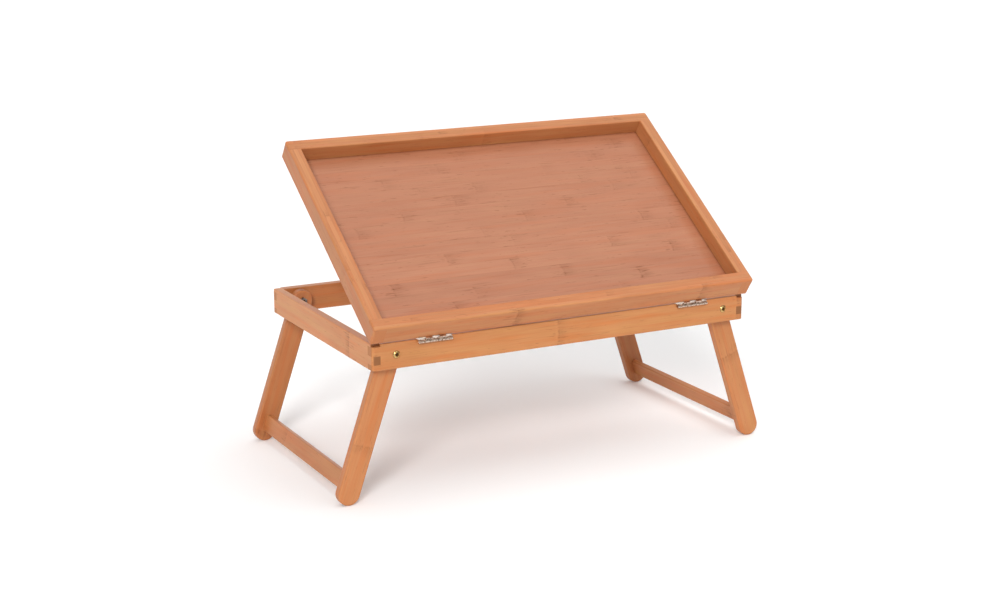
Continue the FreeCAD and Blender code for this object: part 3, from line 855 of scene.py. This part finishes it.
@dataclass
class Studio:
    """Floor, lights and camera."""

    floor_half: float = 14.0
    azimuth: float = -27.90
    elevation: float = 14.09
    distance: float = 2.20
    lens: float = 66.34
    sensor: float = 36.0
    aim_offset: Vector = field(default_factory=lambda: Vector((-0.0333, -0.0397, 0.0006)))
    floor_colour: RGB = (0.93, 0.93, 0.93)
    floor_glow: float = 0.06
    backdrop_sides: int = 64
    sky: float = 0.30
    wall: float = 1.0
    lights: tuple[SoftLight, ...] = (
        SoftLight("key", azimuth=-36.0, elevation=29.0, strength=2.2, softness=20.0),
        SoftLight("overhead", azimuth=60.0, elevation=74.0, strength=1.35, softness=64.0),
    )

    def build(self) -> None:
        """Set up the whole studio."""
        self.build_floor()
        self.build_backdrop()
        self.build_world()
        for light in self.lights:
            light.hang(self.object_middle())
        self.build_camera()
        bpy.context.scene.view_settings.view_transform = "Standard"

    def build_floor(self) -> None:
        """Lay a plain pale floor that is clear from below, so that the underside can be seen."""
        half = self.floor_half
        corners = [(-half, -half, 0), (half, -half, 0), (half, half, 0), (-half, half, 0)]
        mesh = bpy.data.meshes.new("floor")
        mesh.from_pydata(corners, [], [tuple(range(len(corners)))])
        floor = bpy.data.objects.new("floor", mesh)
        bpy.context.scene.collection.objects.link(floor)
        shader = Shader.of_material("pale_floor")
        paint = shader.node("ShaderNodeBsdfPrincipled", None, {
            "Base Color": self.floor_colour, "Roughness": 0.9, "Specular IOR Level": 0.1,
            "Emission Color": (1.0, 1.0, 1.0), "Emission Strength": self.floor_glow})
        clear = shader.node("ShaderNodeBsdfTransparent")
        below = shader.node("ShaderNodeNewGeometry", output="Backfacing")
        shader.surface(shader.node("ShaderNodeMixShader", None, {0: below, 1: paint, 2: clear}))
        mesh.materials.append(shader.owner)

    def build_backdrop(self) -> None:
        """Stand a white wall all round, far away, that only the camera sees."""
        turns = [2 * math.pi * side / self.backdrop_sides for side in range(self.backdrop_sides)]
        ring = [(math.cos(turn) * self.floor_half, math.sin(turn) * self.floor_half) for turn in turns]
        corners = [(x, y, z) for z in (-self.floor_half, self.floor_half) for x, y in ring]
        count = self.backdrop_sides
        faces = [(side, (side + 1) % count, count + (side + 1) % count, count + side) for side in range(count)]
        mesh = bpy.data.meshes.new("backdrop")
        mesh.from_pydata(corners, [], faces)
        backdrop = bpy.data.objects.new("backdrop", mesh)
        bpy.context.scene.collection.objects.link(backdrop)
        shader = Shader.of_material("white_backdrop")
        shader.surface(shader.node("ShaderNodeEmission", None, {"Color": (1.0, 1.0, 1.0), "Strength": 1.0}))
        mesh.materials.append(shader.owner)
        backdrop.visible_diffuse = False
        backdrop.visible_glossy = False
        backdrop.visible_transmission = False
        backdrop.visible_shadow = False

    def build_world(self) -> None:
        """Even soft light from all round, and the bright wall low behind the table."""
        world = bpy.data.worlds.new("studio")
        bpy.context.scene.world = world
        shader = Shader(world)
        towards = shader.node("ShaderNodeTexCoord", output="Generated")
        behind = towards.along(tuple(Vector((0.35, 0.94, 0)).normalized())).ramp(0.1, 0.7)
        low = towards.along(tuple(Z_WAY)).ramp(0.75, 0.35)
        strength = self.sky + behind * low * self.wall
        light = shader.node("ShaderNodeBackground", None, {"Color": (1.0, 1.0, 1.0), "Strength": strength})
        shader.node("ShaderNodeOutputWorld", None, {"Surface": light}, None)

    def object_middle(self) -> Vector:
        """Middle of the whole table's box."""
        low, high = (Vector(corner) for corner in cad_box)
        return (low + high) / 2

    def build_camera(self) -> None:
        """Set the camera at the front left, a little above."""
        camera = bpy.data.cameras.new("camera")
        camera.lens = self.lens
        camera.sensor_width = self.sensor
        towards = gaze(self.azimuth, self.elevation)
        aim = self.object_middle() + self.aim_offset
        holder = bpy.data.objects.new("camera", camera)
        holder.location = aim - towards * self.distance
        holder.rotation_euler = towards.to_track_quat("-Z", "Y").to_euler()
        bpy.context.scene.collection.objects.link(holder)
        bpy.context.scene.camera = holder


# ---- Main ----------------------------------------------------------------------------------


def main() -> None:
    """Build every sub-assembly in order."""
    logging.basicConfig(level=logging.INFO, format="%(message)s")
    metals = MetalStore()
    BaseFrame(metals).dress()
    Tray(metals).dress()
    Prop(metals).dress()
    for side in ("left", "right"):
        LegFrame(side).dress()
    Studio().build()


if __name__ == "__main__":
    main()
